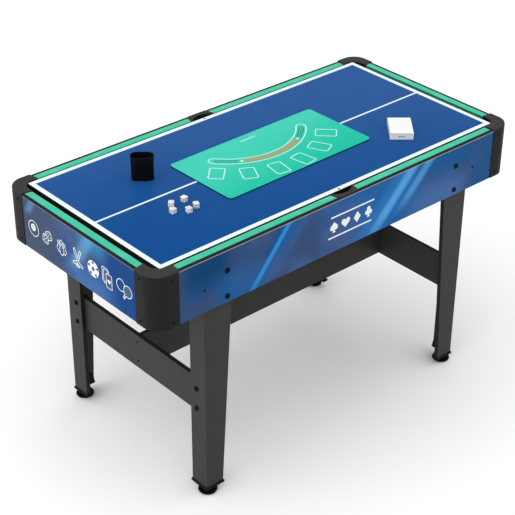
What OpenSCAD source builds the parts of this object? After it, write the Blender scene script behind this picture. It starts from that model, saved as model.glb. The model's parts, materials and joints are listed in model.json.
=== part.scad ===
// Multi-game table: a small pool table with a tennis board laid inside its cushions, and
// the card mat, dice, dice cup and box of playing cards that lie on it.
// X runs along the table, the front is -Y, Z is up, and the origin is on the floor
// under the middle of the table.

/* [Table] */
// Length over the corner castings
table_l = 1220; // [1160:10:1300]
// Width over the corner castings
table_w = 600; // [570:10:640]
// Height of the tennis board's top face above the floor
top_h = 715; // [650:5:780]
// Height of the apron boards
apron_h = 142; // [138:1:154]
// Thickness of the apron, leg and stretcher boards
board_t = 12; // [10:1:13]

/* [Rails and pockets] */
// Distance from the outer face of the castings to the cushion noses
rail_w = 32; // [31:0.5:34]
// Width of the black edging outside the cushions
cap_w = 8; // [6:0.5:8]
// Depth of the pool bed below the cushion tops
bed_depth = 30; // [28:1:34]
// Thickness of the pool bed
bed_t = 9; // [6:1:9]
// Radius of the table's rounded corners
corner_r = 45; // [43:1:48]
// Radius of the corner pockets
pocket_r = 31.5; // [29:0.5:32]
// Radius of the middle pockets' cups
middle_pocket_r = 22; // [20:0.5:22]
// Height of a corner casting above the tennis board
casting_rise = 3; // [2.5:0.5:4]

/* [Legs] */
// Distance from the table's ends to the legs' side faces
leg_inset = 153; // [150:1:170]
// Width of a leg's long face at the top
leg_top_w = 91; // [86:1:96]
// Width of a leg's long face at the bottom
leg_foot_w = 54; // [48:1:60]
// Width of a leg's side face
leg_side_w = 56; // [52:1:62]
// Height of the stretchers' lower edge above the floor
stretcher_z = 240; // [180:5:300]
// Height of the stretcher boards
stretcher_h = 101; // [80:1:120]
// Diameter of a leveller's disc
leveller_d = 50; // [40:1:54]

/* [Tennis board] */
// Gap between the tennis board's ends and the end cushions
end_gap = 13; // [12:0.5:20]
// Gap between the tennis board's long edges and the side cushions
side_gap = 3.5; // [3:0.5:8]
// Thickness of the tennis board's panel
panel_t = 9; // [6:1:12]
// Diameter of the two holes for a net's posts
net_hole_d = 6; // [4:0.5:8]

/* [Games] */
// Length of the card mat
mat_l = 494; // [400:1:520]
// Width of the card mat
mat_w = 237; // [200:1:260]
// Thickness of the card mat
mat_t = 3; // [1:0.5:4]
// Width of the dice cup's oval
cup_w = 60; // [54:1:70]
// Depth of the dice cup's oval
cup_d = 35; // [28:1:40]
// Height of the dice cup
cup_h = 67; // [60:1:90]
// Edge length of a die
die_a = 14; // [12:0.5:16]
// Width of the card box
box_w = 62; // [60:1:66]
// Length of the card box
box_l = 93; // [90:1:96]
// Height of the card box
box_h = 19; // [17:1:22]

/* [Hidden] */
CORNERS = [
    ["front_left", 0, 0],
    ["front_right", 1, 0],
    ["back_left", 0, 1],
    ["back_right", 1, 1]
];
DICE = [
    ["die_1", -367.6, -57.5, -45],
    ["die_2", -385, -86, 4],
    ["die_3", -328.5, -59, 8],
    ["die_4", -353.5, -108, -6],
    ["die_5", -325.5, -101, -22]
];
PER_CORNER = [
    "corner_casting",
    "leg_face",
    "leg_side",
    "leg_shoe",
    "leveller"
];

$fn = 64;
eps = 0.5;

// Outer faces and inner faces of the frame
half_l = table_l / 2;
half_w = table_w / 2;
skin_t = 2;
apron_x = half_l - skin_t;
apron_y = half_w - skin_t;
inner_x = apron_x - board_t;
inner_y = apron_y - board_t;
nose_x = half_l - rail_w;
nose_y = half_w - rail_w;
cushion_x = apron_x - cap_w;
cushion_y = apron_y - cap_w;
arc_x = half_l - corner_r;
arc_y = half_w - corner_r;

// Levels
cap_h = 3;
apron_top = top_h - cap_h;
apron_bottom = apron_top - apron_h;
bed_top = top_h - bed_depth;
bed_bottom = bed_top - bed_t;
casting_bottom = apron_bottom;
casting_top = top_h + casting_rise;

// Where the castings end along the sides, and the cushions' ends
wing_x = half_l - 71.5;
wing_y = half_w - 72;
side_end_x = half_l - 77;
end_nose_y = half_w - 77;
end_outer_y = half_w - 73;
mid_nose_x = 39;
mid_outer_x = 34;
rim_w = 9;

// Pockets: how far a corner pocket cuts behind the noses, and the middle pockets' bow
pocket_cut = 1.5;
pocket_x = nose_x - pocket_r + pocket_cut;
pocket_y = nose_y - pocket_r + pocket_cut;
bow_r = 49;
bow_depth = 16;
bow_y = nose_y + bow_depth - bow_r;
mid_rise = 1.5;
mid_edge_x = 30;
mid_pocket_y = nose_y + 12 - middle_pocket_r;
cup_wall = 2;
cup_depth = 88;
flange_w = 5;
flange_t = 3;

// Legs, shoes and levellers
leg_x = half_l - leg_inset;
leg_top = bed_bottom - 1;
leg_y = inner_y;
leg_bottom = 25;
shoe_z = 19;
shoe_lip = 2.5;
upstand_t = 3;
upstand_h = 30;
boss_r = 6.4;
boss_h = 20;
foot_in = board_t + boss_r + 0.1;
stem_r = 4;
stem_gap = 0.06;
stem_top = 46;
disc_t = 8;

// Stretchers
end_x = leg_x - board_t;
centre_half_l = end_x - board_t;

// Cross beams and cleats under the bed
beam_t = board_t;
beam_x = leg_x + 1;
beam_h = 90;
cleat_a = 15;

// Bolts: places on the aprons and on the legs' sides
bolt_r = 3;
bolt_gap = 0.25;
head_r = 6;
head_h = 3;
washer_r = 7.5;
washer_t = 1.2;
nut_r = 5.8;
nut_h = 5;
apron_bolt_x = leg_x - 62.5;
apron_bolt_z = [top_h - 128.5, top_h - 58];
leg_bolt_y = leg_y - 34;
leg_bolt_z = [stretcher_z + 21, stretcher_z + 80];

// Small screws: in the castings' wings, the beams' ends and the centre stretcher
screw_r = 1.6;
screw_gap = 0.15;
short_screw = 13;
long_screw = 38;
screw_head_r = 3.4;
screw_head_h = 1.8;
casting_screw_x = half_l - 53;
casting_screw_y = half_w - 56;
casting_screw_z = [top_h - 130.5, top_h - 18.5];
beam_screw_x = beam_x + beam_t / 2;
beam_screw_z = bed_bottom - beam_h / 2;

// Tennis board and its rim
board_l = 2 * (nose_x - end_gap);
board_w = 2 * (nose_y - side_gap);
board_r = 3;
rim_t = 12;
rim_x = board_l / 2 - 3;
rim_y = board_w / 2 - 14.5;
net_hole_y = board_w / 2 - 5;

// Places of the games on the board
mat_x = 5.5;
mat_y = -6.6;
mat_turn = 0.8;
mat_r = 11;
cup_x = -334.5;
cup_y = 98;
cup_turn = -40;
cup_t = 1.8;
cup_floor = 3;
box_x = 342;
box_y = -141;
box_turn = -41;
box_t = 1.2;
deck_w = box_w - 4;
deck_l = box_l - 5;
deck_h = box_h - 2 * box_t - 0.6;

MDF = [0.62, 0.49, 0.36];
BLACK = [0.16, 0.16, 0.16];
GREEN = [0.2, 0.78, 0.6];

// Moves the front left corner's piece to another corner
module at_corner(right, back) {
    mirror([right, 0, 0])
    mirror([0, back, 0])
    children();
}

// The children once at each of the four corners
module four_corners() {
    for (c = CORNERS) at_corner(c[1], c[2]) children();
}

// The children at the front and again at the back
module front_and_back() {
    children();
    mirror([0, 1, 0]) children();
}

// The children at the left and again at the right
module left_and_right() {
    children();
    mirror([1, 0, 0]) children();
}

// A box between two corners
module block(low, high) {
    translate(low) cube(high - low);
}

// A cylinder of radius r from point p towards +Y, l long
module rod_y(p, r, l) {
    translate(p) rotate([-90, 0, 0]) cylinder(r = r, h = l);
}

// A cylinder of radius r from point p towards +X, l long
module rod_x(p, r, l) {
    translate(p) rotate([0, 90, 0]) cylinder(r = r, h = l);
}

// A rectangle around the origin with its corners rounded to radius r
module rounded_plan(size, r) {
    square([size[0], size[1] - 2 * r], center = true);
    square([size[0] - 2 * r, size[1]], center = true);
    for (x = [-1, 1], y = [-1, 1])
        translate([x * (size[0] / 2 - r), y * (size[1] / 2 - r)]) circle(r = r);
}

// ---- Aprons ----

// The holes for the leg bolts, casting screws and beam screw at one front corner
module apron_holes() {
    for (z = apron_bolt_z)
        rod_y([-apron_bolt_x, -apron_y - eps, z], bolt_r + bolt_gap, board_t + 2 * eps);
    for (z = casting_screw_z)
        rod_y([-casting_screw_x, -apron_y - eps, z], screw_r + screw_gap, board_t + 2 * eps);
    rod_y([-beam_screw_x, -apron_y - eps, beam_screw_z], screw_r + screw_gap, board_t + 2 * eps);
}

module apron_front() {
    color([0.1, 0.3, 0.6])
    difference() {
        block([-arc_x, -apron_y, apron_bottom], [arc_x, -inner_y, apron_top]);
        left_and_right() apron_holes();
    }
}

module apron_left() {
    color([0.1, 0.3, 0.6])
    difference() {
        block([-apron_x, -arc_y, apron_bottom], [-inner_x, arc_y, apron_top]);
        front_and_back()
            for (z = casting_screw_z)
                rod_x([-apron_x - eps, -casting_screw_y, z], screw_r + screw_gap, board_t + 2 * eps);
    }
}

// Black edging on the aprons' top edges, with its outer edge eased
cap_side = [[0, 0], [0, 1.7], [1, 2.7], [cap_w, 2.7], [cap_w, 0]];

module rail_caps() {
    color(BLACK) {
        front_and_back()
            translate([-wing_x, -apron_y, apron_top])
            rotate([90, 0, 90])
            linear_extrude(2 * wing_x) polygon(cap_side);
        left_and_right()
            translate([-apron_x, wing_y, apron_top])
            rotate([90, 0, 0])
            linear_extrude(2 * wing_y) polygon(cap_side);
    }
}

// ---- Cushions ----

// Cross-section of a cushion: the first number grows from the apron's inner face to the nose
overhang = cushion_y - inner_y;
nose_reach = inner_y - nose_y;
cushion_side = [
    [-overhang, -cap_h],
    [-overhang, -0.6],
    [-overhang + 1, 0],
    [nose_reach - 3, -0.4],
    [nose_reach - 0.6, -1.8],
    [nose_reach, -4.5],
    [nose_reach - 1.2, -6.5],
    [nose_reach - 8, -bed_depth + 6],
    [nose_reach - 8, -bed_depth],
    [0, -bed_depth],
    [0, -cap_h]
];

// The cushion between a corner pocket and a middle pocket, at the front left
module side_cushion() {
    color(GREEN)
    intersection() {
        translate([-half_l, -inner_y, top_h])
            rotate([90, 0, 90])
            linear_extrude(half_l) polygon(cushion_side);
        translate([0, 0, bed_top - eps])
            linear_extrude(bed_depth + 2 * eps)
            polygon([
                [-side_end_x, -nose_y + eps],
                [-side_end_x, -cushion_y - eps],
                [-mid_outer_x, -cushion_y - eps],
                [-mid_outer_x, -cushion_y],
                [-mid_nose_x, -nose_y],
                [-mid_nose_x, -nose_y + eps]
            ]);
    }
}

module end_cushion() {
    color(GREEN)
    intersection() {
        translate([-inner_x, half_w, top_h])
            rotate([90, 0, 0])
            linear_extrude(table_w) polygon(cushion_side);
        translate([0, 0, bed_top - eps])
            linear_extrude(bed_depth + 2 * eps)
            polygon([
                [-cushion_x - eps, -end_outer_y],
                [-cushion_x, -end_outer_y],
                [-nose_x, -end_nose_y],
                [-nose_x + eps, -end_nose_y],
                [-nose_x + eps, end_nose_y],
                [-nose_x, end_nose_y],
                [-cushion_x, end_outer_y],
                [-cushion_x - eps, end_outer_y]
            ]);
    }
}

// ---- Castings ----

// Section of a corner casting's outer wall and eased rim, by distance from the arc's centre
wall_side = [
    [corner_r - skin_t, casting_bottom],
    [corner_r, casting_bottom],
    [corner_r, casting_top - 5],
    [corner_r - 0.8, casting_top - 2],
    [corner_r - 2.4, casting_top - 0.4],
    [corner_r - 4, casting_top],
    [corner_r - rim_w, casting_top],
    [corner_r - rim_w, apron_top],
    [corner_r - skin_t, apron_top]
];

// Plan of the space inside the noses and the pocket's arc, grown outwards by g
module throat_plan(g) {
    translate([-pocket_x, -pocket_y]) circle(r = pocket_r + g);
    translate([-nose_x - g, -pocket_y]) square([half_l, half_w]);
    translate([-pocket_x, -nose_y - g]) square([half_l, half_w]);
}

// Plan of the casting's top plate, inside its eased rim
module plate_plan() {
    difference() {
        translate([-arc_x - corner_r + rim_w, -arc_y - corner_r + rim_w])
            square([corner_r - rim_w + arc_x - side_end_x, corner_r - rim_w + arc_y - end_nose_y]);
        difference() {
            translate([-half_l, -half_w]) square([corner_r, corner_r]);
            translate([-arc_x, -arc_y]) circle(r = corner_r - rim_w);
        }
        translate([-wing_x, -half_w]) square([half_l, half_w - cushion_y]);
        translate([-half_l, -wing_y]) square([half_l - cushion_x, half_w]);
        end_slant();
        throat_plan(0);
    }
}

// What a slanted end of the end cushion takes from the casting's plate
module end_slant() {
    polygon([
        [-half_l, -end_outer_y],
        [-cushion_x, -end_outer_y],
        [-nose_x, -end_nose_y],
        [-nose_x + eps, -end_nose_y],
        [-nose_x + eps, 0],
        [-half_l, 0]
    ]);
}

// The casting at the front left corner
module corner_casting() {
    color([0.27, 0.27, 0.26])
    difference() {
        union() {
            translate([-arc_x, -arc_y, 0])
                rotate([0, 0, 180])
                rotate_extrude(angle = 90) polygon(wall_side);
            translate([-arc_x, -arc_y, 0])
                mirror([0, 1, 0])
                rotate([90, 0, 90])
                linear_extrude(arc_x - wing_x) polygon(wall_side);
            translate([-arc_x, -wing_y, 0])
                mirror([1, 0, 0])
                rotate([90, 0, 0])
                linear_extrude(arc_y - wing_y) polygon(wall_side);
            translate([0, 0, apron_top]) linear_extrude(casting_top - apron_top) plate_plan();
            translate([0, 0, bed_top])
                linear_extrude(apron_top - bed_top + 1)
                difference() {
                    throat_plan(3);
                    throat_plan(0);
                    translate([-side_end_x, -half_w]) square([half_l, table_w]);
                    end_slant();
                    translate([-half_l, -end_nose_y]) square([table_l, table_w]);
                }
        }
        for (z = casting_screw_z) {
            rod_y([-casting_screw_x, -half_w - eps, z], screw_r + screw_gap, skin_t + 2 * eps);
            rod_x([-half_l - eps, -casting_screw_y, z], screw_r + screw_gap, skin_t + 2 * eps);
        }
    }
}

module middle_castings() {
    color([0.3, 0.3, 0.29])
    front_and_back()
        difference() {
            translate([0, 0, bed_top])
                linear_extrude(bed_depth + mid_rise)
                polygon([
                    [-mid_nose_x, -nose_y],
                    [-mid_outer_x, -cushion_y],
                    [mid_outer_x, -cushion_y],
                    [mid_nose_x, -nose_y]
                ]);
            block([-half_l, -half_w, bed_top - eps], [half_l, -inner_y, apron_top]);
            translate([0, -bow_y, bed_top - eps]) cylinder(r = bow_r, h = bed_depth + 2 * cap_h);
        }
    front_and_back()
        translate([0, 0, top_h])
        linear_extrude(mid_rise)
        polygon([
            [-mid_outer_x, -cushion_y + 1],
            [-mid_outer_x, -cushion_y],
            [-mid_edge_x, -apron_y + 1.5],
            [mid_edge_x, -apron_y + 1.5],
            [mid_outer_x, -cushion_y],
            [mid_outer_x, -cushion_y + 1]
        ]);
}

// ---- Pool bed, its supports and the pockets ----

module pool_bed() {
    color(GREEN)
    translate([0, 0, bed_bottom])
        linear_extrude(bed_t)
        difference() {
            rounded_plan([2 * inner_x, 2 * inner_y], 30);
            for (x = [-1, 1], y = [-1, 1])
                translate([x * pocket_x, y * pocket_y]) circle(r = pocket_r);
            for (y = [-1, 1])
                translate([0, y * mid_pocket_y]) circle(r = middle_pocket_r);
        }
}

// A pocket's cup of inner radius r, hanging from z = 0
module pocket_cup(r) {
    color(BLACK)
    rotate_extrude()
        polygon([
            [0, -cup_depth],
            [r - 4, -cup_depth],
            [r + cup_wall, -cup_depth + 12],
            [r + cup_wall, -flange_t],
            [r + flange_w, -flange_t],
            [r + flange_w, 0],
            [r, 0],
            [r, -cup_depth + 14],
            [r - 5, -cup_depth + cup_wall],
            [0, -cup_depth + cup_wall]
        ]);
}

module pocket_cups_middle() {
    front_and_back()
        translate([0, -mid_pocket_y, bed_bottom]) pocket_cup(middle_pocket_r);
}

// Square strips under the bed's edges
module bed_cleats() {
    cleat_z = bed_bottom - cleat_a;
    cup_clear = pocket_r + flange_w + 5;
    color(MDF) {
        four_corners() {
            block(
                [-leg_x + leg_top_w + 5, -inner_y, cleat_z],
                [-middle_pocket_r - flange_w - 5, -inner_y + cleat_a, bed_bottom]
            );
            block(
                [-pocket_x + cup_clear, -inner_y, cleat_z],
                [-beam_x - beam_t - 2, -inner_y + cleat_a, bed_bottom]
            );
        }
        left_and_right()
            block(
                [-inner_x, -pocket_y + cup_clear, cleat_z],
                [-inner_x + cleat_a, pocket_y - cup_clear, bed_bottom]
            );
    }
}

module cross_beams() {
    color(BLACK)
    left_and_right()
        difference() {
            block([-beam_x - beam_t, -inner_y, bed_bottom - beam_h], [-beam_x, inner_y, bed_bottom]);
            front_and_back()
                rod_y([-beam_screw_x, -inner_y - eps, beam_screw_z], screw_r + screw_gap, long_screw);
        }
}

// ---- Legs ----

// The leg board behind the front apron, mitred to the side board and tapered on its free edge
module leg_face() {
    color([0.25, 0.25, 0.24])
    difference() {
        intersection() {
            translate([0, 0, leg_bottom])
                linear_extrude(leg_top - leg_bottom)
                polygon([
                    [-leg_x, -leg_y],
                    [-leg_x + leg_top_w, -leg_y],
                    [-leg_x + leg_top_w, -leg_y + board_t],
                    [-leg_x + board_t, -leg_y + board_t]
                ]);
            translate([0, -leg_y + board_t + eps, 0])
                rotate([90, 0, 0])
                linear_extrude(board_t + 2 * eps)
                polygon([
                    [-leg_x - eps, leg_bottom],
                    [-leg_x + leg_foot_w, leg_bottom],
                    [-leg_x + leg_top_w, leg_top],
                    [-leg_x - eps, leg_top]
                ]);
        }
        for (z = apron_bolt_z)
            rod_y([-apron_bolt_x, -leg_y - eps, z], bolt_r + bolt_gap, board_t + 2 * eps);
    }
}

// The leg board that faces the table's end
module leg_side() {
    color([0.31, 0.31, 0.3])
    difference() {
        translate([0, 0, leg_bottom])
            linear_extrude(leg_top - leg_bottom)
            polygon([
                [-leg_x, -leg_y],
                [-leg_x + board_t, -leg_y + board_t],
                [-leg_x + board_t, -leg_y + leg_side_w],
                [-leg_x, -leg_y + leg_side_w]
            ]);
        for (z = leg_bolt_z)
            rod_x([-leg_x - eps, -leg_bolt_y, z], bolt_r + bolt_gap, board_t + 2 * eps);
    }
}

// Outline of a shoe's upstand, which slants down to its far end
module upstand_plan(l) {
    polygon([[0, -eps], [l, -eps], [l, 10], [l - 6, upstand_h], [0, upstand_h]]);
}

// Plastic shoe under a leg, with a lip, two upstands and the boss for the leveller's stem
module leg_shoe() {
    sole = [-leg_x - shoe_lip, -leg_y - shoe_lip, shoe_z];
    arm = board_t + 2 * shoe_lip;
    color(BLACK)
    difference() {
        union() {
            block(sole, [sole[0] + arm, -leg_y + leg_side_w + shoe_lip, leg_bottom]);
            block(sole, [-leg_x + leg_foot_w + shoe_lip, sole[1] + arm, leg_bottom]);
            translate([-leg_x + board_t, -leg_y + board_t, leg_bottom])
                rotate([90, 0, 90])
                linear_extrude(upstand_t) upstand_plan(leg_side_w - board_t);
            translate([-leg_x + board_t, -leg_y + board_t + upstand_t, leg_bottom])
                rotate([90, 0, 0])
                linear_extrude(upstand_t) upstand_plan(leg_foot_w - board_t);
            translate([-leg_x + foot_in, -leg_y + foot_in, shoe_z])
                cylinder(r = boss_r, h = leg_bottom - shoe_z + boss_h);
        }
        translate([-leg_x + foot_in, -leg_y + foot_in, shoe_z - eps])
            cylinder(r = stem_r + stem_gap, h = leg_bottom - shoe_z + upstand_h + 2 * eps);
    }
}

// Leveller: a domed disc on a threaded stem
module leveller() {
    disc_r = leveller_d / 2;
    color([0.1, 0.1, 0.1])
    translate([-leg_x + foot_in, -leg_y + foot_in, 0])
        rotate_extrude()
        polygon([
            [0, 0],
            [disc_r - 5, 0],
            [disc_r - 1, 2.5],
            [disc_r, 5],
            [disc_r - 0.6, disc_t - 0.6],
            [disc_r - 2.5, disc_t],
            [8, disc_t + 1],
            [7, disc_t + 4],
            [stem_r, disc_t + 4],
            [stem_r, stem_top],
            [0, stem_top]
        ]);
}

// ---- Stretchers ----

module end_stretcher() {
    color([0.31, 0.31, 0.3])
    difference() {
        block(
            [-end_x, -leg_y + board_t, stretcher_z],
            [-end_x + board_t, leg_y - board_t, stretcher_z + stretcher_h]
        );
        for (z = leg_bolt_z) {
            front_and_back()
                rod_x([-end_x - eps, -leg_bolt_y, z], bolt_r + bolt_gap, board_t + 2 * eps);
            rod_x([-end_x - eps, 0, z], screw_r + screw_gap, board_t + 2 * eps);
        }
    }
}

module centre_stretcher() {
    color([0.28, 0.28, 0.27])
    difference() {
        block(
            [-centre_half_l, -board_t / 2, stretcher_z],
            [centre_half_l, board_t / 2, stretcher_z + stretcher_h]
        );
        left_and_right()
            for (z = leg_bolt_z)
                rod_x([-centre_half_l - eps, 0, z], screw_r + screw_gap, long_screw);
    }
}

// ---- Fasteners: each node is a group of separate solids ----

// The children at each of a front left corner's bolts, with +Z along the bolt into the frame
// and z = 0 at the outer face of the boards
module at_bolts() {
    for (z = apron_bolt_z) translate([-apron_bolt_x, -apron_y, z]) rotate([-90, 0, 0]) children();
    for (z = leg_bolt_z) translate([-leg_x, -leg_bolt_y, z]) rotate([0, 90, 0]) children();
}

module frame_bolts() {
    color([0.08, 0.08, 0.08])
    four_corners()
        at_bolts()
        difference() {
            union() {
                translate([0, 0, -washer_t]) mirror([0, 0, 1])
                    cylinder(r1 = head_r, r2 = head_r - 2, h = head_h);
                translate([0, 0, -washer_t]) cylinder(r = bolt_r, h = 2 * board_t + washer_t + nut_h);
            }
            translate([0, 0, -washer_t - head_h - eps]) cylinder(r = 2.2, h = 2 + eps, $fn = 6);
        }
}

module frame_washers() {
    color([0.12, 0.12, 0.12])
    four_corners()
        at_bolts()
        translate([0, 0, -washer_t])
        difference() {
            cylinder(r = washer_r, h = washer_t);
            translate([0, 0, -eps]) cylinder(r = bolt_r + bolt_gap, h = washer_t + 2 * eps);
        }
}

module frame_nuts() {
    color([0.6, 0.6, 0.58])
    four_corners()
        at_bolts()
        translate([0, 0, 2 * board_t])
        difference() {
            cylinder(r = nut_r, h = nut_h, $fn = 6);
            translate([0, 0, -eps]) cylinder(r = bolt_r + 0.05, h = nut_h + 2 * eps);
        }
}

// A small cross-head screw with l of shank along +Z and its head outside z = 0
module small_screw(l) {
    difference() {
        union() {
            mirror([0, 0, 1]) cylinder(r1 = screw_head_r, r2 = screw_head_r - 1.4, h = screw_head_h);
            cylinder(r = screw_r, h = l);
        }
        for (a = [0, 90])
            rotate([0, 0, a])
            translate([-1.6, -0.35, -screw_head_h - eps])
            cube([3.2, 0.7, 1 + eps]);
    }
}

module small_screws() {
    color([0.1, 0.1, 0.1]) {
        four_corners() {
            for (z = casting_screw_z) {
                translate([-casting_screw_x, -half_w, z])
                    rotate([-90, 0, 0]) small_screw(short_screw);
                translate([-half_l, -casting_screw_y, z])
                    rotate([0, 90, 0]) small_screw(short_screw);
            }
            translate([-beam_screw_x, -apron_y, beam_screw_z])
                rotate([-90, 0, 0]) small_screw(long_screw);
        }
        left_and_right()
            for (z = leg_bolt_z)
                translate([-end_x, 0, z]) rotate([0, 90, 0]) small_screw(long_screw);
    }
}

// ---- Tennis board ----

module tennis_board() {
    color([0.07, 0.3, 0.6])
    translate([0, 0, top_h - panel_t])
        difference() {
            linear_extrude(panel_t) rounded_plan([board_l, board_w], board_r);
            for (y = [-1, 1])
                translate([0, y * net_hole_y, -eps]) cylinder(d = net_hole_d, h = panel_t + 2 * eps);
        }
}

// Four bars under the board, which hold its top level with the cushions
module board_rim() {
    color(BLACK) {
        left_and_right()
            block([-rim_x, -rim_y, bed_top], [-rim_x + rim_t, rim_y, top_h - panel_t]);
        front_and_back()
            block(
                [-rim_x + rim_t, -rim_y, bed_top],
                [rim_x - rim_t, -rim_y + rim_t, top_h - panel_t]
            );
    }
}

// ---- Games on the board ----

module game_mat() {
    color([0.25, 0.82, 0.68])
    translate([mat_x, mat_y, top_h])
        rotate([0, 0, mat_turn])
        linear_extrude(mat_t)
        rounded_plan([mat_l, mat_w], mat_r);
}

// An oval of two half circles and a straight middle, shrunk by g
module oval(g) {
    r = cup_d / 2;
    square([cup_w - 2 * r, cup_d - 2 * g], center = true);
    for (x = [-1, 1]) translate([x * (cup_w / 2 - r), 0]) circle(r = r - g);
}

module dice_cup() {
    color([0.05, 0.05, 0.05])
    translate([cup_x, cup_y, top_h])
        rotate([0, 0, cup_turn])
        difference() {
            linear_extrude(cup_h) oval(0);
            translate([0, 0, cup_floor]) linear_extrude(cup_h) oval(cup_t);
        }
}

// A die at a place of the DICE list: a cube with its corners rounded off
module die(d) {
    color([0.93, 0.93, 0.93])
    translate([d[1], d[2], top_h + die_a / 2])
        rotate([0, 0, d[3]])
        intersection() {
            cube(die_a, center = true);
            sphere(r = die_a * 0.74);
        }
}

// Moves the card box's pieces from their own frame, whose open end faces -Y
module at_box() {
    translate([box_x, box_y, top_h]) rotate([0, 0, box_turn]) children();
}

module card_box() {
    color([0.95, 0.95, 0.95])
    at_box()
        difference() {
            block([-box_w / 2, -box_l / 2 + box_t, 0], [box_w / 2, box_l / 2, box_h]);
            block(
                [-box_w / 2 + box_t, -box_l / 2, box_t],
                [box_w / 2 - box_t, box_l / 2 - box_t, box_h - box_t]
            );
        }
}

// The end flap, hinged on the box's top edge
module card_flap() {
    color([0.9, 0.9, 0.9])
    at_box()
        block([-box_w / 2, -box_l / 2, 0.3], [box_w / 2, -box_l / 2 + box_t, box_h]);
}

module card_deck() {
    color([0.85, 0.2, 0.2])
    at_box()
        block([-deck_w / 2, -deck_l / 2, box_t], [deck_w / 2, deck_l / 2, box_t + deck_h]);
}

apron_front();
mirror([0, 1, 0]) apron_front();  // apron_back
apron_left();
mirror([1, 0, 0]) apron_left();  // apron_right
rail_caps();
middle_castings();
end_cushion();  // cushion_left
mirror([1, 0, 0]) end_cushion();  // cushion_right
pool_bed();
bed_cleats();
cross_beams();
pocket_cups_middle();
for (c = CORNERS) at_corner(c[1], c[2]) {
    side_cushion();
    corner_casting();
    leg_face();
    leg_side();
    leg_shoe();
    leveller();
    translate([-pocket_x, -pocket_y, bed_bottom]) pocket_cup(pocket_r);
}
end_stretcher();  // end_stretcher_left
mirror([1, 0, 0]) end_stretcher();  // end_stretcher_right
centre_stretcher();
frame_bolts();
frame_washers();
frame_nuts();
small_screws();
tennis_board();
board_rim();
game_mat();
dice_cup();
for (d = DICE) die(d);
card_box();
card_flap();
card_deck();
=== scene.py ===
"""The looks of the multi-game table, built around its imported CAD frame.

Everything is in metres. X runs along the table, the front is -Y, and the floor is z = 0.
"""

import json
from math import cos, exp, pi, radians, sin, sqrt, tau

import bmesh
import bpy
from mathutils import Matrix, Vector


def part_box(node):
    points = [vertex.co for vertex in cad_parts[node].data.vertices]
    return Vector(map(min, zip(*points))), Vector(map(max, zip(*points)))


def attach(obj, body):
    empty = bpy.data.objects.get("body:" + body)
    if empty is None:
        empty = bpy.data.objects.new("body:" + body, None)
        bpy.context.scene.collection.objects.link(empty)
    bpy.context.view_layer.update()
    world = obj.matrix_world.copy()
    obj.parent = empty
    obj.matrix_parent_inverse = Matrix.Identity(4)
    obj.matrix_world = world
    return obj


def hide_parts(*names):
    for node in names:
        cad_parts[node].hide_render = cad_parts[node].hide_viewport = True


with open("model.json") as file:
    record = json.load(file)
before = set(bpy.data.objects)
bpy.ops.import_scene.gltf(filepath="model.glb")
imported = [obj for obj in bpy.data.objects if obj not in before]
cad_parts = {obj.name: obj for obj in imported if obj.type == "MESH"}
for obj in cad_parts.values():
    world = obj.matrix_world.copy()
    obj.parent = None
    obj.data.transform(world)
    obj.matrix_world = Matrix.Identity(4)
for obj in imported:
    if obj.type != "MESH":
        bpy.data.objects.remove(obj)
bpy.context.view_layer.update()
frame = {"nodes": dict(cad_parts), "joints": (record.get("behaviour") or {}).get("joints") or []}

MM = 0.001
CORNERS = ("front_left", "front_right", "back_left", "back_right")

# Places and sizes taken from the frame
BOARD_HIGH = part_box("tennis_board")[1]
BOARD_TOP = BOARD_HIGH.z
APRON_LOW, APRON_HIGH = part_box("apron_front")
END_LOW, END_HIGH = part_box("apron_left")
CASTING_LOW, CASTING_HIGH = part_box("corner_casting_front_right")
BED_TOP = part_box("pool_bed")[1].z
HALF_L = CASTING_HIGH.x
HALF_W = -CASTING_LOW.y

# Sizes shared by several pieces, as the CAD model has them
CORNER_R = 45 * MM
POCKET_R = 31.5 * MM
SKIN = 2 * MM
MAT_L = 494 * MM
MAT_W = 237 * MM
MAT_TURN = radians(0.8)

# The panels: the axis along each print and its sign, then the axis and sign that it looks out on
PANELS = (
    ("front", "x", 1.0, 1, -1),
    ("back", "x", -1.0, 1, 1),
    ("left", "y", -1.0, 0, -1),
    ("right", "y", 1.0, 0, 1),
)

# How bright white looks under the lights below: on the top, the long sides and the left end
LIT = 1.2
SIDE_LIT = 1.0
END_LIT = 1.15


def srgb(red, green, blue, lit=LIT):
    """The albedo that shows as a display colour, 0 to 255 per channel, where white shows as lit."""
    channels = []
    for channel in (red, green, blue):
        c = channel / 255
        linear = c / 12.92 if c <= 0.04045 else ((c + 0.055) / 1.055) ** 2.4
        channels.append(min(0.9, linear / lit))
    return (*channels, 1.0)


def toned(shade, factor):
    """The same colour, lighter or darker."""
    return tuple(min(1.0, c * factor) for c in shade[:3]) + (1.0,)


def signs(corner):
    """The signs of x and y at a corner named like front_left."""
    return (-1 if "left" in corner else 1), (-1 if "front" in corner else 1)


# ---- Materials ----


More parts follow.
